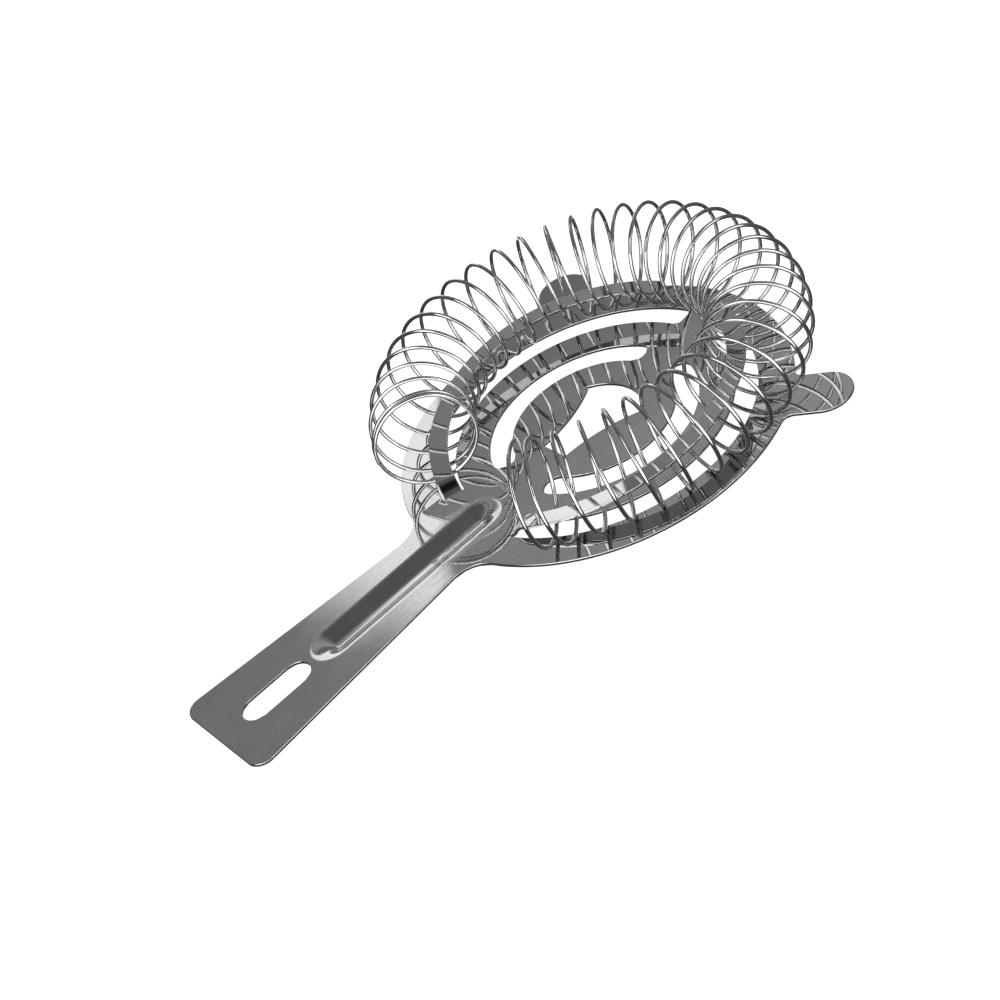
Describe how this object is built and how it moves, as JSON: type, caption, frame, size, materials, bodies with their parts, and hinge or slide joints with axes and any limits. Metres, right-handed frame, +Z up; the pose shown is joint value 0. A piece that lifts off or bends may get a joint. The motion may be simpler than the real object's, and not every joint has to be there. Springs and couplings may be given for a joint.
{
  "type": "hawthorne strainer",
  "caption": "Bar strainer with a round perforated head, two rim ears, a coil spring threaded on raised tongues, and a flat tapered handle with a hanging slot.",
  "frame": {"origin": "middle of the bounding box in plan, on the plane that the strainer stands on when it lies on its back with the spring up", "axes": "+Y from the handle towards the front of the head, +Z up out of the spring side, +X to the right"},
  "size_m": [0.0925, 0.1494, 0.0242],
  "materials": {
    "body_steel": "polished",
    "spring_steel": "polished"
  },
  "bodies": {
    "body": {"strainer_body": "body_steel"},
    "spring": {"coil_spring": "spring_steel"}
  },
  "joints": [
    {"name": "spring_slides_round", "type": "hinge", "parent": "body", "child": "spring", "pos_m": [0, 0.02836, 0.01352], "axis": [0, 0, 1], "range_deg": [-3, 1.5]}
  ]
}
